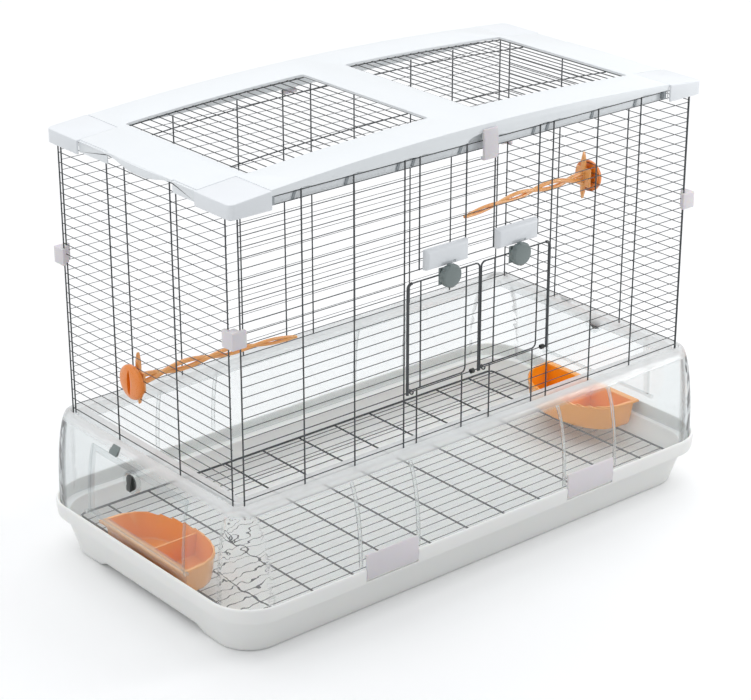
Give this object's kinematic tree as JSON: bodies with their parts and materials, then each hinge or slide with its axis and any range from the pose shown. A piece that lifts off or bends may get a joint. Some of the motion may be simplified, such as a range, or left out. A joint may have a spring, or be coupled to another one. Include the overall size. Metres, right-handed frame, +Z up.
{
  "type": "bird breeding cage",
  "caption": "Long wire bird cage with twin front doors, perches and feed cups, on a clear debris guard and a white pull-off tray, under an arched white roof.",
  "frame": {"origin": "on the floor under the middle of the cage", "axes": "+X along the length towards the right end, -Y towards the front with the doors, +Z up"},
  "size_m": [0.7824, 0.4254, 0.568],
  "materials": {
    "tray_white": "satin moulded",
    "roof_white": "satin moulded",
    "cap_grey": "satin moulded, pale grey",
    "clip_white": "satin moulded, slightly translucent",
    "clear_guard": "clear moulded",
    "wire": "dark powder coat",
    "orange": "translucent orange",
    "knob_grey": "satin grey green",
    "dark": "satin dark grey"
  },
  "bodies": {
    "tray": {"tray": "tray_white", "floor_grate": "wire"},
    "cage": {"debris_guard": "clear_guard", "front_panel": "wire", "back_panel": "wire", "left_panel": "wire", "right_panel": "wire", "corner_clip_front_left": "clip_white", "corner_clip_front_right": "clip_white", "corner_clip_back_left": "clip_white", "corner_clip_back_right": "clip_white", "latch_keeper_left": "cap_grey", "latch_keeper_right": "cap_grey", "perch_arm_left": "orange", "perch_arm_right": "orange", "access_catch_left": "dark", "access_catch_right": "dark"},
    "roof": {"roof_frame": "roof_white", "roof_cap_front_left": "cap_grey", "roof_cap_front_right": "cap_grey", "roof_cap_back_left": "cap_grey", "roof_cap_back_right": "cap_grey", "roof_grid_left": "wire", "roof_grid_right": "wire"},
    "roof_latch_front": {"roof_latch_front": "clip_white"},
    "roof_latch_back": {"roof_latch_back": "clip_white"},
    "door_left": {"door_left": "wire", "door_bead_left": "dark", "latch_plate_left": "knob_grey"},
    "door_knob_left": {"door_knob_left": "knob_grey"},
    "access_door_left": {"access_door_left": "clear_guard"},
    "access_knob_left": {"access_knob_left": "dark"},
    "cup_left": {"cup_left": "orange"},
    "perch_clamp_left": {"perch_clamp_left": "orange"},
    "tray_latch_left": {"tray_latch_left": "clip_white"},
    "door_right": {"door_right": "wire", "door_bead_right": "dark", "latch_plate_right": "knob_grey"},
    "door_knob_right": {"door_knob_right": "knob_grey"},
    "access_door_right": {"access_door_right": "clear_guard"},
    "access_knob_right": {"access_knob_right": "dark"},
    "cup_right": {"cup_right": "orange"},
    "perch_clamp_right": {"perch_clamp_right": "orange"},
    "tray_latch_right": {"tray_latch_right": "clip_white"}
  },
  "joints": [
    {"name": "cage_lift", "type": "slide", "parent": "tray", "child": "cage", "axis": [0, 0, 1], "range_m": [0, 0.15]},
    {"name": "roof_lift", "type": "slide", "parent": "cage", "child": "roof", "axis": [0, 0, 1], "range_m": [0, 0.1]},
    {"name": "roof_latch_front_swing", "type": "hinge", "parent": "roof", "child": "roof_latch_front", "pos_m": [0, -0.1802, 0.562], "axis": [-1, 0, 0], "range_deg": [0, 60]},
    {"name": "roof_latch_back_swing", "type": "hinge", "parent": "roof", "child": "roof_latch_back", "pos_m": [0, 0.1802, 0.562], "axis": [1, 0, 0], "range_deg": [0, 60]},
    {"name": "door_left_hinge", "type": "hinge", "parent": "cage", "child": "door_left", "pos_m": [-0.058, -0.1725, 0.2575], "axis": [1, 0, 0], "range_deg": [0, 120]},
    {"name": "door_knob_left_turn", "type": "hinge", "parent": "door_left", "child": "door_knob_left", "pos_m": [-0.056, -0.18, 0.3972], "axis": [0, -1, 0], "range_deg": [0, 90]},
    {"name": "access_door_left_hinge", "type": "hinge", "parent": "cage", "child": "access_door_left", "pos_m": [-0.3888, 0, 0.0844], "axis": [0, -1, 0], "range_deg": [0, 95]},
    {"name": "access_knob_left_turn", "type": "hinge", "parent": "access_door_left", "child": "access_knob_left", "pos_m": [-0.387, 0.006, 0.16], "axis": [-1, 0, 0], "range_deg": [0, 90]},
    {"name": "perch_clamp_left_turn", "type": "hinge", "parent": "cage", "child": "perch_clamp_left", "pos_m": [-0.364, 0.027, 0.27655], "axis": [-1, 0, 0], "range_deg": [0, 90]},
    {"name": "tray_latch_left_hinge", "type": "hinge", "parent": "tray", "child": "tray_latch_left", "pos_m": [-0.165, -0.2113, 0.0584], "axis": [1, 0, 0], "range_deg": [0, 50]},
    {"name": "cup_left_lift", "type": "slide", "parent": "tray", "child": "cup_left", "axis": [0, 0, 1], "range_m": [0, 0.035]},
    {"name": "door_right_hinge", "type": "hinge", "parent": "cage", "child": "door_right", "pos_m": [0.058, -0.1725, 0.2575], "axis": [1, 0, 0], "range_deg": [0, 120]},
    {"name": "door_knob_right_turn", "type": "hinge", "parent": "door_right", "child": "door_knob_right", "pos_m": [0.056, -0.18, 0.3972], "axis": [0, -1, 0], "range_deg": [0, 90]},
    {"name": "access_door_right_hinge", "type": "hinge", "parent": "cage", "child": "access_door_right", "pos_m": [0.3888, 0, 0.0844], "axis": [0, 1, 0], "range_deg": [0, 95]},
    {"name": "access_knob_right_turn", "type": "hinge", "parent": "access_door_right", "child": "access_knob_right", "pos_m": [0.387, 0.006, 0.16], "axis": [1, 0, 0], "range_deg": [0, 90]},
    {"name": "perch_clamp_right_turn", "type": "hinge", "parent": "cage", "child": "perch_clamp_right", "pos_m": [0.364, 0.008, 0.37815], "axis": [1, 0, 0], "range_deg": [0, 90]},
    {"name": "tray_latch_right_hinge", "type": "hinge", "parent": "tray", "child": "tray_latch_right", "pos_m": [0.165, -0.2113, 0.0584], "axis": [1, 0, 0], "range_deg": [0, 50]},
    {"name": "cup_right_lift", "type": "slide", "parent": "tray", "child": "cup_right", "axis": [0, 0, 1], "range_m": [0, 0.035]}
  ]
}
